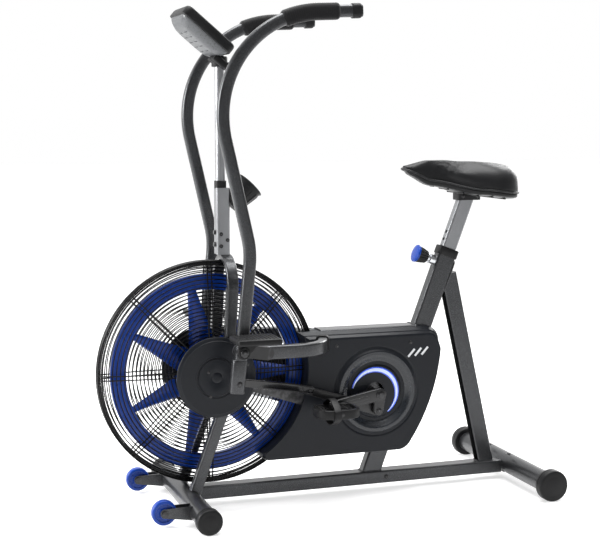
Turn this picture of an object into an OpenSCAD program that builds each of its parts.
// Air bike: a fan-resistance exercise bike with moving handlebars.
// X runs from the fan (negative) to the saddle (positive), Y across the bike, Z up.
// The origin is on the floor under the middle of the bike. The rider faces -X.

/* [Fan and cage] */
// Distance from the bike's middle forward to the fan axis
fan_ahead = 318; // [310:1:322]
// Height of the fan axis above the floor
fan_z = 363; // [355:1:372]
// Outer radius of the wire cage
cage_r = 300; // [290:1:300]
// Number of fan blades
blade_count = 7; // [5:1:9]
// Number of wire rings in each half of the cage
ring_count = 9; // [5:1:12]

/* [Drive] */
// Crank axis, rearward of the bike's middle
crank_x = 140; // [135:1:145]
// Height of the crank axis
crank_z = 288; // [284:1:292]
// Crank length from axis to pedal spindle
crank_len = 150; // [140:1:152]
// Teeth on the chainring
ring_teeth = 48; // [44:1:50]
// Teeth on the fan sprocket
fan_teeth = 16; // [14:1:18]

/* [Handlebars] */
// Sideways distance of each handle arm from the middle plane
arm_y = 187; // [186:0.5:190]
// Radius of the big upper bend of the handle arm
arm_top_r = 262; // [250:1:270]
// Length of the straight hand grip
grip_len = 118; // [100:1:125]

/* [Frame] */
// Half width over the rear floor tube with its caps
rear_half = 284; // [275:1:300]
// Half width over the front floor tube with its caps
front_half = 277; // [270:1:290]
// Lean of the seat tube from vertical, in degrees
seat_lean = 20.5; // [20:0.1:21]

/* [Saddle] */
// Height of the saddle's top
saddle_top = 922; // [915:1:930]
// Width of the saddle across its back
saddle_w = 232; // [200:1:250]

/* [Hidden] */
$fn = 48;

left = -1;
right = 1;
gap = 0.3;              // air between neighbouring faces
fit = 0.05;             // radial clearance of a running fit
seam = 0.6;             // gap between tube lengths, bridged by a weld ring
wall = 2;               // wall of the steel tubes
fan_x = -fan_ahead;

// floor tubes
floor_r = 28.5;
front_x = -386;
front_cap_r = 33.6;
rear_x = 575;
rear_cap_r = 43;
cap_band = 30;
foot_cut = 0.4;
rail_w = 45;
rail_h = 36;
rail_z = 36;

// transport wheels
wheel_x = -480;
wheel_z = 39;
wheel_y = 167;
wheel_r = 32.4;
wheel_w = 22;
wheel_bolt_r = 4;

// seat tube, strut and upper rail
seat_x0 = 149;
seat_z0 = rail_z + rail_h / 2;
seat_len = 660;
tube_d = 54;
tube_w = 34;
strut_d = 48;
strut_w = 32;
strut_lean = 12.8;
strut_foot_x = 503;
strut_len = 562;
upper_z = 439;
upper_h = 50;
upper_w = 60;
upper_x0 = -8;

// fork that straddles the cage
fork_y = 70;
fork_d = 30;
fork_w = 25;
crown_t = 16;
fork_top = [-269, 595];
fork_knee = [-285, 303];
fork_foot = [-372, 62];

// stays, pivots and foot rests
pivot_at = 106.5;
pivot_r = 8;
stay_z = 433;
stay_h = 36;
stay_w = 25;
stay_y = 150;
stay_x0 = -213;
stay_x1 = -110;
stay_bend_r = 90;
stay_bend = 70;
rest_x = -259;
rest_z = 486;
rest_y = 250;

// handle arm, from its lower end upwards
arm_x0 = -289;
arm_z0 = 339;
arm_lean = 5.8;
arm_low = 325;
arm_bend_r = 227;
arm_bend = 18.5;
arm_mid = 255;
arm_top = 100;
arm_d = 32;
arm_w = 25;
link_at = 24;
link_r = 6;
pivot_x = arm_x0 + pivot_at * sin(arm_lean);
pivot_z = arm_z0 + pivot_at * cos(arm_lean);
link_x = arm_x0 + link_at * sin(arm_lean);
link_z = arm_z0 + link_at * cos(arm_lean);

// crank set and housing
house_y = 58;
house_wall = 2.5;
crank_tilt = 9;
crank_in = 84;
crank_out = 98;
pedal_y = 152;
pedal_pin_r = 5;
throw_r = 44;
throw_a = 265;
link_y = 78;
spindle_r = 10;
chain_y = 42;
brace_in = 47;
brace_out = 51.2;
guard_r = 70;
brace_len = 560;
brace_drop = 18.3;
standoff_at = 60;
pitch = 12.7;
ring_r = pitch / 2 / sin(180 / ring_teeth);
sprocket_r = pitch / 2 / sin(180 / fan_teeth);
axle_r = 6;
cover_r = 107;

// console
console_x = -334;
console_z = 1252;
console_tilt = 40;
console_l = 162;
console_t = 50;
console_w = 164;
post_x = -281;
post_r = 12.7;

// saddle post and pull pin
post_d = 43;
post_w = 27;
post_low = 470;
post_high = 812;
pin_at = 616;
pin_r = 5;

steel = "#4b4d50";
silver = "#8d9094";
plastic = "#23262b";
black = "#17181a";
blue = "#1d3fc4";

// ---------- helpers ----------

// Points on an arc, from angle a to angle b
function arc(cx, cy, r, a, b, n = 16) =
    [for (i = [0:n]) [cx + r * cos(a + (b - a) * i / n), cy + r * sin(a + (b - a) * i / n)]];

// A rectangle with round corners, made of exact pieces
module round_rect(w, h, r) {
    square([w - 2 * r, h], center = true);
    square([w, h - 2 * r], center = true);
    for (x = [-1, 1], y = [-1, 1])
        translate([x * (w / 2 - r), y * (h / 2 - r)]) circle(r);
}

// Wall of a rounded rectangular tube
module tube_section(w, h, r, t = wall) {
    difference() {
        round_rect(w, h, r);
        round_rect(w - 2 * t, h - 2 * t, r - t / 2);
    }
}

// A straight rectangular tube standing on the XY plane
module box_tube(w, h, len, r = 6) {
    linear_extrude(len) tube_section(w, h, r);
}

// A bar between two points of the XZ plane, sized along its slope and across Y
module bar_xz(a, b, depth, width, y, r = 5) {
    d = b - a;
    translate([a[0], y, a[1]])
        rotate([0, atan2(d[0], d[1]), 0])
            linear_extrude(norm(d)) tube_section(depth, width, r);
}

// Weld ring that joins two lengths of rectangular tube, centred on their seam
module weld_ring(w, h, r) {
    translate([0, 0, -1]) linear_extrude(2) tube_section(w + 0.6, h + 0.6, r + 0.3, wall + 0.6);
}

// Bent length of tube that starts upwards and turns through angle a: towards +X, or
// towards -X where a is negative. The children carry on from its end.
module bend(r, a, w, h, corner) {
    s = a > 0 ? 1 : -1;
    trim = seam / 2 / r * 180 / PI;
    weld_ring(w, h, corner);
    translate([s * r, 0, 0]) {
        rotate([90, 0, s > 0 ? 180 : 0]) rotate([0, 0, trim])
            mirror([0, 0, s > 0 ? 1 : 0]) rotate_extrude(angle = abs(a) - 2 * trim, $fn = 96)
                translate([r, 0]) tube_section(w, h, corner);
        rotate([0, a, 0]) translate([-s * r, 0, 0]) {
            weld_ring(w, h, corner);
            children();
        }
    }
}

// Turns a profile drawn in XZ into a plate from y0 to y1
module plate(y0, y1) {
    translate([0, max(y0, y1), 0]) rotate([90, 0, 0])
        linear_extrude(abs(y1 - y0)) children();
}

// A cylinder across the bike, from y0 to y1
module across(x, z, r, y0, y1) {
    translate([x, max(y0, y1), z]) rotate([90, 0, 0]) cylinder(h = abs(y1 - y0), r = r);
}

// ---------- frame ----------

module lower_rail() {
    x0 = front_x + floor_r - 3;
    x1 = rear_x - floor_r + 3;
    color(steel) difference() {
        translate([x0, 0, rail_z]) rotate([0, 90, 0])
            linear_extrude(x1 - x0) tube_section(rail_h, rail_w, 5);
        across(front_x, front_cap_r, floor_r + gap, -60, 60);
        across(rear_x, rear_cap_r, floor_r + gap, -60, 60);
    }
}

module floor_tube(x, z, half) {
    difference() {
        across(x, z, floor_r, -half + 6, half - 6);
        across(x, z, floor_r - wall, -half, half);
    }
}

module front_tube() { color(steel) floor_tube(front_x, front_cap_r, front_half); }

module rear_tube() { color(steel) floor_tube(rear_x, rear_cap_r, rear_half); }

// Cup over a floor tube's end, with a flat foot cut along its underside
module floor_cap(side, x, r, half) {
    intersection() {
        difference() {
            across(x, r - foot_cut, r, side * (half - cap_band), side * half);
            across(x, r, floor_r + gap / 3, side * (half - cap_band - 1), side * (half - 5));
        }
        translate([x - r, -half - 1, 0]) cube([2 * r, 2 * half + 2, 2 * r]);
    }
}

module front_caps() {
    color(black) for (side = [left, right]) floor_cap(side, front_x, front_cap_r, front_half);
}

module rear_caps() {
    color(black) for (side = [left, right]) floor_cap(side, rear_x, rear_cap_r, rear_half);
}

module wheel_bracket(side) {
    for (s = [-1, 1]) {
        y = side * wheel_y + s * (wheel_w / 2 + 3.5);
        difference() {
            plate(y - 2, y + 2) union() {
                translate([wheel_x, wheel_z]) circle(12);
                polygon([[wheel_x, wheel_z + 12], [wheel_x, wheel_z - 12],
                    [front_x - 8, 14], [front_x - 8, 52]]);
            }
            across(front_x, front_cap_r, floor_r + gap, y - 5, y + 5);
            across(wheel_x, wheel_z, wheel_bolt_r + fit, y - 5, y + 5);
        }
    }
}

module wheel_brackets() { color(steel) for (side = [left, right]) wheel_bracket(side); }

module transport_wheel(side) {
    y = side * wheel_y;
    color(blue) difference() {
        translate([wheel_x, y, wheel_z]) rotate([90, 0, 0]) rotate_extrude() union() {
            translate([0, -wheel_w / 2]) square([wheel_r - 4, wheel_w]);
            translate([0, -wheel_w / 2 + 4]) square([wheel_r, wheel_w - 8]);
            for (s = [-1, 1]) translate([wheel_r - 4, s * (wheel_w / 2 - 4)]) circle(4);
        }
        across(wheel_x, wheel_z, wheel_bolt_r + fit, y - 20, y + 20);
    }
}

module wheel_left() { transport_wheel(left); }

module wheel_right() { transport_wheel(right); }

// Axle bolts of the transport wheels, and the bolts through the console socket
module frame_bolts() {
    color(silver) {
        for (side = [left, right]) {
            y = side * wheel_y;
            across(wheel_x, wheel_z, wheel_bolt_r, y - 19, y + 19);
            for (s = [-1, 1])
                across(wheel_x, wheel_z, 8, y + s * 16.8, y + s * 22);
        }
        for (z = [704, 736]) translate([post_x - 14 - gap, 0, z]) rotate([0, -90, 0])
            cylinder(h = 5, r = 6);
    }
}

// Placement along the seat tube's slope, starting at the lower rail
module on_seat_tube() {
    translate([seat_x0, 0, seat_z0 + gap]) rotate([0, seat_lean, 0]) children();
}

module seat_tube() {
    color(steel) difference() {
        on_seat_tube() translate([0, 0, -30]) box_tube(tube_d, tube_w, seat_len + 30);
        translate([seat_x0 - 60, -40, seat_z0 - 60 + gap]) cube([120, 80, 60]);
        on_seat_tube() translate([-40, 0, pin_at]) rotate([0, 90, 0]) cylinder(h = 30, r = 9);
    }
}

module strut_body(d, w, extra = 0) {
    translate([strut_foot_x, 0, seat_z0 + gap]) rotate([0, -strut_lean, 0])
        translate([0, 0, -30]) linear_extrude(strut_len + 30 + extra) round_rect(d, w, 6);
}

module rear_strut() {
    color(steel) difference() {
        strut_body(strut_d, strut_w);
        translate([0, 0, -60]) strut_body(strut_d - 2 * wall, strut_w - 2 * wall, 120);
        translate([strut_foot_x - 60, -40, seat_z0 - 60 + gap]) cube([160, 80, 60]);
        across(rear_x, rear_cap_r, floor_r + gap, -40, 40);
        on_seat_tube() translate([-tube_d + tube_d / 2 + gap, -30, 300])
            cube([tube_d, 60, seat_len]);
    }
}

module upper_rail() {
    x1 = 300;
    color(steel) difference() {
        translate([upper_x0, 0, upper_z]) rotate([0, 90, 0])
            linear_extrude(x1 - upper_x0) tube_section(upper_h, upper_w, 6);
        on_seat_tube() translate([-tube_d / 2 - gap, -50, 0])
            cube([200, 100, seat_len]);
    }
}

// One leg of the fork: upright, foot and the plate that holds the fan axle
module fork_leg(side) {
    y = side * fork_y;
    color(steel) difference() {
        union() {
            bar_xz(fork_knee, fork_top, fork_d, fork_w, y);
            difference() {
                bar_xz(fork_foot - [12, 33], fork_knee + [6, 16], fork_d, fork_w, y);
                translate([fork_knee[0] - 80, y - 30, fork_knee[1]]) cube([160, 60, 80]);
            }
            plate(y - side * 11.5, y - side * 18.5) hull() {
                translate([fan_x, fan_z]) circle(20);
                translate([fan_x + 36, fan_z + 24]) circle(18);
                translate([fan_x + 34, fan_z - 40]) circle(18);
            }
        }
        across(fan_x, fan_z, axle_r + gap, -120, 120);
        across(front_x, front_cap_r, floor_r + gap, -120, 120);
    }
}

module fork_left() { fork_leg(left); }

module fork_right() { fork_leg(right); }

module fork_crown() {
    color(steel) translate([fork_top[0], 0, fork_top[1] + 1])
        rotate([90, 0, 90]) rotate_extrude(angle = 180)
            translate([fork_y + (fork_w - crown_t) / 2, 0]) tube_section(crown_t, fork_d, 5);
}

// ---------- stays, pivots, foot rests ----------

// Laid along +X: straight, then a bend inwards to the side of the upper rail
module stay(side) {
    end_y = stay_y - stay_bend_r * (1 - cos(stay_bend));
    run = (end_y - upper_w / 2) / sin(stay_bend);
    color(steel) mirror([0, side > 0 ? 1 : 0, 0]) difference() {
        translate([stay_x0, -stay_y, stay_z]) rotate([0, 90, 0]) rotate([0, 0, 90]) {
            linear_extrude(stay_x1 - stay_x0 - seam / 2) tube_section(stay_w, stay_h, 10);
            translate([0, 0, stay_x1 - stay_x0])
                bend(stay_bend_r, stay_bend, stay_w, stay_h, 10)
                    translate([0, 0, seam / 2]) linear_extrude(run)
                        tube_section(stay_w, stay_h, 10);
        }
        translate([upper_x0 - 60, -upper_w / 2 - gap, upper_z - 80]) cube([120, 60, 160]);
    }
}

module stay_left() { stay(left); }

module stay_right() { stay(right); }

// Pivot of a handle arm: a plate on the stay, the pin, and its outer washer
module pivot_bolt(side) {
    y0 = side * (stay_y + stay_w / 2 + gap);
    plate(y0, y0 + side * 8) hull() {
        translate([pivot_x, pivot_z]) circle(17);
        translate([stay_x0 + 10, stay_z]) circle(17);
    }
    across(pivot_x, pivot_z, pivot_r, y0 + side * 7, side * 217);
}

module pivot_bolts() { color(steel) for (side = [left, right]) pivot_bolt(side); }

module foot_rest(side) {
    y_in = side * 204;
    y_out = side * 297;
    color(black) difference() {
        union() {
            plate(y_in, y_out) translate([rest_x, rest_z]) round_rect(114, 16, 5);
            plate(y_in, y_in + side * 8) hull() {
                translate([pivot_x, pivot_z]) circle(16);
                translate([rest_x - 20, rest_z - 6]) square([40, 4]);
            }
        }
        across(pivot_x, pivot_z, pivot_r + gap, side * 190, side * 230);
    }
}

module foot_rest_left() { foot_rest(left); }

module foot_rest_right() { foot_rest(right); }

// Flat struts from the fan axle back to a spacer on the seat tube
module fan_braces() {
    a = [fan_x, fan_z];
    b = [a[0] + brace_len * cos(brace_drop), a[1] - brace_len * sin(brace_drop)];
    color(steel) for (side = [left, right]) difference() {
        union() {
            plate(side * brace_in, side * brace_out) brace_outline(side, a, b);
            across(b[0], b[1], 9, side * (tube_w / 2 + gap), side * brace_in);
        }
        across(fan_x, fan_z, axle_r + gap, -120, 120);
        across(crank_x, crank_z, 30, -120, 120);
    }
}

// Slim strut on the left; on the right it widens into the guard over the chain
module brace_outline(side, a, b) {
    hull() {
        translate(a) circle(16);
        translate(b) circle(14);
    }
    if (side > 0) {
        translate(a) circle(guard_r);
        chain_loop(5);
    }
}

// ---------- console ----------

module console_post() {
    color(silver) union() {
        difference() {
            translate([post_x, 0, 700]) cylinder(h = 500, r = post_r);
            translate([post_x, 0, 690]) cylinder(h = 600, r = post_r - wall);
        }
        difference() {
            translate([post_x + 4, 0, 664]) linear_extrude(190) difference() {
                round_rect(36, 34, 5);
                translate([-4, 0]) circle(post_r - 0.5);
            }
            translate([fork_top[0] - 40, 0, fork_top[1] + 1]) rotate([0, 90, 0])
                cylinder(h = 80, r = fork_y + fork_w / 2 + gap, $fn = 96);
        }
    }
}

// Placement on the console: x up along the face, z out of the face
module on_console() {
    translate([console_x, 0, console_z]) rotate([0, console_tilt, 0]) children();
}

module console_case() {
    color(black) difference() {
        on_console() linear_extrude(console_t / 2) round_rect(console_l, console_w, 16);
        on_console() translate([-25, 0, console_t / 2 - 4])
            linear_extrude(20) round_rect(88, 128, 6);
        for (i = [-1, 0, 1]) on_console() translate([48, i * 38, console_t / 2 - 7])
            cylinder(h = 20, r = 9);
    }
}

module console_back() {
    color(silver) difference() {
        on_console() translate([0, 0, -console_t / 2]) linear_extrude(console_t / 2 - gap)
            round_rect(console_l - 6, console_w - 6, 14);
        translate([post_x, 0, 1100]) cylinder(h = 100 + gap, r = post_r + gap);
    }
}

module console_screen() {
    color("#9fb0a0") on_console() translate([-25, 0, console_t / 2 - 4 + gap])
        linear_extrude(2.5) round_rect(87, 127, 6);
}

// A push button that stands in its well in the console's face
module console_button(i) {
    color(blue) on_console() translate([48, i * 38, console_t / 2 - 4.5])
        cylinder(h = 6.5, r = 8.5);
}

module button_mode() { console_button(-1); }

module button_set() { console_button(0); }

module button_reset() { console_button(1); }

// Tapered cup on the console post for a drinks bottle
module bottle_holder() {
    color(black) difference() {
        translate([-258, 0, 802]) rotate([0, 45, 0]) difference() {
            cylinder(h = 84, r1 = 26, r2 = 40);
            translate([0, 0, 4]) cylinder(h = 84, r1 = 23, r2 = 37.5);
        }
        translate([post_x + 4 - 18 - gap, -60, 700]) cube([36 + 2 * gap, 120, 154.5]);
        translate([post_x - 40, -60, 700]) cube([30, 120, 300]);
        translate([post_x, 0, 700]) cylinder(h = 300, r = post_r + gap);
    }
}

// ---------- cage, fan and their covers ----------

// How far the cage bulges from the middle plane at radius r
function bulge(r) = 8 + 24 * (1 - pow(r / cage_r, 4));

module cage_half(side) {
    wire = 2;
    plate_r = 90;
    color(black) translate([fan_x, 0, fan_z]) rotate([90, 0, 0])
        mirror([0, 0, side > 0 ? 1 : 0]) {
            rotate_extrude($fn = 96) translate([cage_r - 5, 6]) circle(5, $fn = 24);
            for (i = [1:ring_count]) {
                r = plate_r + (cage_r - 8 - plate_r) * i / (ring_count + 1);
                rotate_extrude($fn = 96) translate([r, bulge(r)]) circle(wire, $fn = 16);
            }
            for (i = [0:7]) rotate([90, 0, i * 45 + 22.5]) linear_extrude(4, center = true)
                polygon(concat(
                    [for (r = [plate_r - 6:20:cage_r - 2]) [r, bulge(r) - 1]], [[cage_r - 4, 7]],
                    [[cage_r - 4, 10]],
                    [for (r = [cage_r - 4:-20:plate_r - 6]) [r, bulge(r) + 3]]));
            translate([0, 0, bulge(plate_r) - 2]) difference() {
                union() {
                    cylinder(h = 4, r = plate_r);
                    cage_mount(side, brace_in - gap - bulge(plate_r) + 2);
                }
                translate([0, 0, -1]) cylinder(h = 60, r = side > 0 ? 44 : axle_r + gap);
            }
        }
}

// What the plate stands off by: a spacer on the axle, or three posts round the chain
module cage_mount(side, h) {
    if (side < 0) {
        cylinder(h = h, r = 13);
    } else {
        for (a = [90, 180, 270]) rotate(a) translate([standoff_at, 0, 0]) cylinder(h = h, r = 5);
    }
}

module cage_left() { cage_half(left); }

module cage_right() { cage_half(right); }

// Round cover over the fan axle's end, with a slot for the fork leg
module hub_cover(side) {
    color(plastic) difference() {
        union() {
            across(fan_x, fan_z, cover_r, side * 86, side * 95);
            across(fan_x, fan_z, cover_r - 6, side * 84, side * 87);
        }
        across(fan_x, fan_z, axle_r + 8, side * 80, side * 91);
    }
}

module hub_cover_left() { hub_cover(left); }

module hub_cover_right() { hub_cover(right); }

module fan_wheel() {
    r_out = 264;
    r_in = 223;
    root = 60;
    color(blue) translate([fan_x, 0, fan_z]) rotate([90, 0, 0]) {
        difference() {
            union() {
                cylinder(h = 40, r = 34, center = true);
                cylinder(h = 5, r = 80, center = true);
            }
            cylinder(h = 60, r = 16 + fit / 5, center = true);
        }
        rotate_extrude($fn = 96) polygon([[r_in, -7], [r_in + 4, -9], [r_out, -9],
            [r_out, 9], [r_in + 4, 9], [r_in, 7]]);
        for (i = [0:blade_count - 1]) rotate([0, 0, i * 360 / blade_count + 50])
            rotate([22, 0, 0]) linear_extrude(4, center = true)
                polygon([[root, -40], [r_in + 6, -12], [r_in + 6, 12], [root, 40]]);
    }
}

module fan_axle() {
    color(silver) union() {
        across(fan_x, fan_z, axle_r, -84, 84);
        for (side = [left, right]) across(fan_x, fan_z, 10, side * 58.8, side * 68);
    }
}

module fan_bearings() {
    color(silver) for (side = [left, right]) difference() {
        across(fan_x, fan_z, 16, side * 10, side * 19);
        across(fan_x, fan_z, axle_r + fit, side * 5, side * 25);
    }
}

module toothed(x, z, r, teeth, y0, y1) {
    across(x, z, r - 4, y0, y1);
    for (i = [0:teeth - 1]) plate(y0, y1) translate([x, z])
        rotate(i * 360 / teeth) polygon([[r - 6, -3.2], [r + 2.5, -1], [r + 2.5, 1], [r - 6, 3.2]]);
}

module fan_sprocket() {
    color(silver) difference() {
        union() {
            toothed(fan_x, fan_z, sprocket_r, fan_teeth, chain_y - 1.2, chain_y + 1.2);
            across(fan_x, fan_z, 22, 20.2, chain_y);
        }
        across(fan_x, fan_z, axle_r + 1, 0, 60);
    }
}

module chainring() {
    color(black) difference() {
        toothed(crank_x, crank_z, ring_r, ring_teeth, chain_y - 1.2, chain_y + 1.2);
        across(crank_x, crank_z, spindle_r, 0, 60);
        for (i = [0:4]) across(crank_x + 58 * cos(i * 72), crank_z + 58 * sin(i * 72), 17, 0, 60);
    }
}

// Both plates of the chain as one loop round the two sprockets, clear of the teeth
module chain_loop(grow) {
    hull() {
        translate([fan_x, fan_z]) circle(sprocket_r + grow);
        translate([crank_x, crank_z]) circle(ring_r + grow);
    }
}

module chain() {
    color(silver) for (s = [-1, 1]) plate(chain_y + s * 1.8, chain_y + s * 3.6) difference() {
        chain_loop(4);
        chain_loop(-4);
    }
}

// Bearing shell for the crank axle, on a short beam from the seat tube
module bottom_bracket() {
    color(steel) difference() {
        union() {
            across(crank_x, crank_z, 25, -34, 34);
            translate([crank_x, -tube_w / 2, crank_z - 18]) cube([120, tube_w, 36]);
        }
        across(crank_x, crank_z, spindle_r + fit, -40, 40);
        on_seat_tube() translate([-tube_d / 2 - gap, -50, 0]) cube([200, 100, seat_len]);
    }
}

module crank_axle() { color(silver) across(crank_x, crank_z, spindle_r, -97, 97); }

// Crank arm with its pedal spindle, and the boss that faces the link rod
module crank(side) {
    turn = side > 0 ? 180 : 0;
    a = 180 + crank_tilt + turn;
    end = [crank_x + crank_len * cos(a), crank_z + crank_len * sin(a)];
    pin = [crank_x + throw_r * cos(throw_a + turn), crank_z + throw_r * sin(throw_a + turn)];
    y0 = side * crank_in;
    y1 = side * crank_out;
    color(black) difference() {
        union() {
            plate(y0, y1) hull() {
                translate([crank_x, crank_z]) circle(20, $fn = 32);
                translate(end) circle(14, $fn = 32);
            }
            plate(y0, y1) hull() {
                translate([crank_x, crank_z]) circle(20, $fn = 32);
                translate(pin) circle(15, $fn = 32);
            }
            across(end[0], end[1], pedal_pin_r, y1, side * (pedal_y + 50));
        }
        across(crank_x, crank_z, spindle_r, y0 - side, y1 + side);
    }
}

module crank_left() { crank(left); }

module crank_right() { crank(right); }

// Pedal body: a cage of two side rails, end bars and a hub that turns on the spindle
module pedal(side) {
    turn = side > 0 ? 180 : 0;
    a = 180 + crank_tilt + turn;
    end = [crank_x + crank_len * cos(a), crank_z + crank_len * sin(a)];
    color(black) difference() {
        translate([end[0], side * pedal_y, end[1]]) union() {
            difference() {
                linear_extrude(24, center = true) round_rect(104, 96, 14);
                for (x = [-1, 1], y = [-1, 1]) translate([x * 27, y * 23, 0])
                    linear_extrude(40, center = true) round_rect(26, 26, 4);
            }
        }
        across(end[0], end[1], pedal_pin_r + fit, side * 90, side * 215);
    }
}

module pedal_left() { pedal(left); }

module pedal_right() { pedal(right); }

// ---------- handle arms and link rods ----------

module arm_section() { tube_section(arm_d, arm_w, 8); }

// Lower straight of the arm, with its pivot sleeve and the pin for the link rod
module arm_foot(side) {
    difference() {
        union() {
            linear_extrude(arm_low - seam / 2) arm_section();
            translate([0, 0, pivot_at]) rotate([90, 0, 0])
                cylinder(h = arm_w, r = 13, center = true);
        }
        translate([0, 0, pivot_at]) rotate([90, 0, 0])
            cylinder(h = 60, r = pivot_r + fit, center = true);
    }
    translate([0, 0, link_at]) rotate([side * 90, 0, 0]) cylinder(h = arm_y - 152, r = link_r);
}

// The bends and straights above it: each stage starts where the last one ends
module arm_bends() {
    bend(arm_bend_r, -arm_bend, arm_d, arm_w, 8) {
        translate([0, 0, seam / 2]) linear_extrude(arm_mid - seam) arm_section();
        translate([0, 0, arm_mid]) bend(arm_top_r, arm_top, arm_d, arm_w, 8)
            translate([0, 0, seam / 2]) linear_extrude(grip_len - seam / 2) arm_section();
    }
}

module handle(side) {
    color(steel) translate([arm_x0, side * arm_y, arm_z0]) rotate([0, arm_lean, 0]) {
        arm_foot(side);
        translate([0, 0, arm_low]) arm_bends();
    }
}

module handle_left() { handle(left); }

module handle_right() { handle(right); }

// Foam sleeve over the straight end of the arm and the last part of its bend
module grip(side) {
    cover = 36;
    color(black) translate([arm_x0, side * arm_y, arm_z0]) rotate([0, arm_lean, 0])
        translate([0, 0, arm_low]) translate([-arm_bend_r, 0, 0]) rotate([0, -arm_bend, 0])
            translate([arm_bend_r, 0, arm_mid]) translate([arm_top_r, 0, 0]) {
                rotate([90, 0, 0]) rotate([0, 0, 180 - arm_top])
                    rotate_extrude(angle = cover, $fn = 96) translate([arm_top_r, 0])
                        grip_section();
                rotate([0, arm_top, 0]) translate([-arm_top_r, 0, 0]) {
                    linear_extrude(grip_len) grip_section();
                    translate([0, 0, grip_len + gap]) linear_extrude(6)
                        round_rect(arm_d + 8, arm_w + 8, 12);
                }
            }
}

module grip_section() {
    difference() {
        round_rect(arm_d + 8, arm_w + 8, 12);
        round_rect(arm_d + 0.8, arm_w + 0.8, 8.4);
    }
}

module grip_left() { grip(left); }

module grip_right() { grip(right); }

// Link rod: eye on the arm's pin, an inward slope, then flat to the crank's throw
module link_rod(side) {
    a = [link_x, link_z];
    pin = [crank_x + throw_r * cos(throw_a), crank_z + throw_r * sin(throw_a)];
    knee = [-96, 319];
    end = [-44, 308];
    h = 22;
    t = 8;
    slope_y = 76 + t / 2;
    color(black) mirror([0, side > 0 ? 1 : 0, 0]) difference() {
        union() {
            across(a[0], a[1], 14, -152.5, -172);
            intersection() {
                translate([0, 0, 300]) linear_extrude(100) polygon([
                    [a[0] - 14, -162], [a[0] - 14, -154], [a[0] + 6, -152.5],
                    [knee[0], -slope_y + t], [end[0], -slope_y + t], [end[0], -slope_y],
                    [knee[0] - 2, -slope_y], [a[0] + 10, -162]]);
                plate(-200, 0) polygon([[a[0] - 2, a[1] + h / 2], [end[0], end[1] + h / 2],
                    [end[0], end[1] - h / 2], [a[0] - 2, a[1] - h / 2]]);
            }
            plate(-slope_y + t, -slope_y) polygon([[end[0] - 30, end[1] + 15],
                [pin[0], pin[1] + 10], [pin[0], pin[1] - 10], [end[0] - 30, end[1] - 4]]);
            across(pin[0], pin[1], 16, -slope_y + t, -crank_in + gap);
        }
        across(a[0], a[1], link_r + fit, -140, -190);
    }
}

module link_left() { link_rod(left); }

module link_right() { link_rod(right); }

// ---------- housing ----------

house_corner = [301, 421, 40];
house_low = [210, 163, 45];
house_back = [-200, 444, 542];
house_tip = [-162, 132, 14];
house_front_r = 262;
function angle_to(a, b) = atan2(b[1] - a[1], b[0] - a[0]);

module housing_outline() {
    a1 = angle_to(house_back, house_corner);
    a2 = angle_to(house_back, house_low);
    top = house_corner[1] + house_corner[2];
    f1 = asin((top - fan_z) / house_front_r);
    polygon(concat(
        arc(house_corner[0], house_corner[1], house_corner[2], 90, a1, 10),
        arc(house_back[0], house_back[1], house_back[2], a1, a2, 14),
        arc(house_low[0], house_low[1], house_low[2], a2, -90, 8),
        arc(house_tip[0], house_tip[1], house_tip[2], -90, -190, 6),
        arc(fan_x, fan_z, house_front_r, -54, f1, 20)));
}

module housing(side) {
    color(plastic) mirror([0, side > 0 ? 1 : 0, 0]) difference() {
        union() {
            plate(-gap, -house_y + 8) housing_outline();
            plate(-house_y + 8, -house_y) offset(delta = -9) housing_outline();
        }
        plate(1, -house_y + 8 + house_wall) offset(delta = -house_wall) housing_outline();
        plate(1, -house_y + house_wall) offset(delta = -9 - house_wall) housing_outline();
        across(fan_x, fan_z, cage_r + 6, 1, -house_y + house_wall);
        across(crank_x, crank_z, 30, 0, -house_y - 1);
        translate([upper_x0 - 80, -upper_w / 2 - gap, upper_z - upper_h / 2 - gap])
            cube([500, 100, 60]);
        on_seat_tube() translate([-tube_d / 2 - 1, -tube_w / 2 - 1, -20])
            cube([tube_d + 2, 100, 500]);
        translate([-45, -house_y - 5, stay_z - stay_h / 2 - 1]) cube([72, 40, stay_h + 2]);
    }
}

module housing_left() { housing(left); }

module housing_right() { housing(right); }

screw_at = [[28, 422], [245, 421], [-48, 130], [38, 146]];

module housing_screws() {
    color(black) for (side = [left, right], p = screw_at)
        across(p[0], p[1], 4, side * (house_y + gap), side * (house_y + 2));
}

// ---------- saddle and pull pin ----------

module seat_post() {
    color(silver) difference() {
        on_seat_tube() translate([0, 0, post_low])
            linear_extrude(post_high - post_low) tube_section(post_d, post_w, 5);
        for (i = [0:4]) on_seat_tube() translate([-post_d / 2 - 1, 0, pin_at + 22 * i])
            rotate([0, 90, 0]) cylinder(h = 8, r = pin_r);
    }
}

saddle_x = 425;

saddle_z = saddle_top - 98;

// Outline of the base plate, grown sideways and upwards and let down below
module saddle_plate(grow, drop) {
    translate([saddle_x - 60, 0, saddle_z - drop]) hull() {
        translate([-110, 0, 34]) cylinder(h = 6 + grow + drop, r = 14 + grow);
        for (s = [-1, 1])
            translate([120, s * 48, 0]) cylinder(h = 10 + grow + drop, r = 52 + grow);
    }
}

module saddle_base() {
    color(black) difference() {
        union() {
            saddle_plate(0, 0);
            translate([saddle_x + 12, 0, saddle_z - 16]) linear_extrude(18) round_rect(70, 44, 8);
        }
        on_seat_tube() translate([0, 0, post_low]) linear_extrude(post_high - post_low + gap)
            round_rect(post_d + 2 * gap, post_w + 2 * gap, 5);
    }
}

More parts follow.
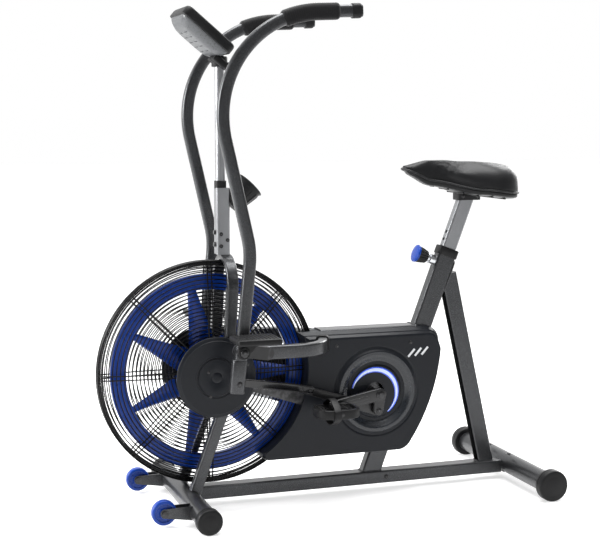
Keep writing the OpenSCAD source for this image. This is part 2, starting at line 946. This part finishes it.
module saddle_pad() {
    color(black) difference() {
        hull() {
            translate([saddle_x - 160, 0, saddle_top - 36]) scale([1, 0.9, 1])
                sphere(26, $fn = 32);
            translate([saddle_x - 60, 0, saddle_top - 30]) scale([1, 1.2, 1])
                sphere(30, $fn = 32);
            for (s = [-1, 1])
                translate([saddle_x + 96, s * (saddle_w / 2 - 58), saddle_top - 62])
                    scale([1, 1, 0.78]) sphere(58, $fn = 32);
        }
        saddle_plate(gap, 60);
        hull() {
            translate([saddle_x - 190, -200, saddle_z - 40]) cube([5, 400, 68]);
            translate([saddle_x + 20, -200, saddle_z - 80]) cube([185, 400, 86]);
        }
    }
}

// Placement on the pull pin's axis, which points out of the seat tube's front
module on_pin() {
    on_seat_tube() translate([-tube_d / 2, 0, pin_at]) rotate([0, -90, 0]) children();
}

module pin_housing() {
    color(silver) on_pin() difference() {
        union() {
            translate([0, 0, gap]) cylinder(h = 16, r = 14);
            translate([0, 0, -4]) cylinder(h = 6, r = 8.9);
        }
        translate([0, 0, -6]) cylinder(h = 40, r = pin_r + fit);
        translate([0, 0, 5]) cylinder(h = 40, r = 9.5);
    }
}

module pin_knob() {
    color(blue) on_pin() union() {
        translate([0, 0, -3.5]) cylinder(h = 50, r = pin_r);
        translate([0, 0, 17]) cylinder(h = 8, r = 11);
        translate([0, 0, 25]) cylinder(h = 34, r1 = 18, r2 = 25);
        translate([0, 0, 59]) cylinder(h = 6, r1 = 25, r2 = 22);
    }
}

module pin_spring() {
    color(silver) on_pin() difference() {
        translate([0, 0, 5.2]) cylinder(h = 11, r = 8.8);
        translate([0, 0, 5]) cylinder(h = 12, r = pin_r + gap);
    }
}

lower_rail();
front_tube();
rear_tube();
front_caps();
rear_caps();
wheel_brackets();
wheel_left();
wheel_right();
frame_bolts();
seat_tube();
rear_strut();
upper_rail();
fork_left();
fork_right();
fork_crown();
stay_left();
stay_right();
pivot_bolts();
foot_rest_left();
foot_rest_right();
fan_braces();
console_post();
console_case();
console_back();
console_screen();
button_mode();
button_set();
button_reset();
bottle_holder();
cage_left();
cage_right();
hub_cover_left();
hub_cover_right();
fan_wheel();
fan_axle();
fan_bearings();
fan_sprocket();
chain();
chainring();
bottom_bracket();
crank_axle();
crank_left();
crank_right();
pedal_left();
pedal_right();
link_left();
link_right();
handle_left();
handle_right();
grip_left();
grip_right();
housing_left();
housing_right();
housing_screws();
seat_post();
saddle_base();
saddle_pad();
pin_housing();
pin_knob();
pin_spring();
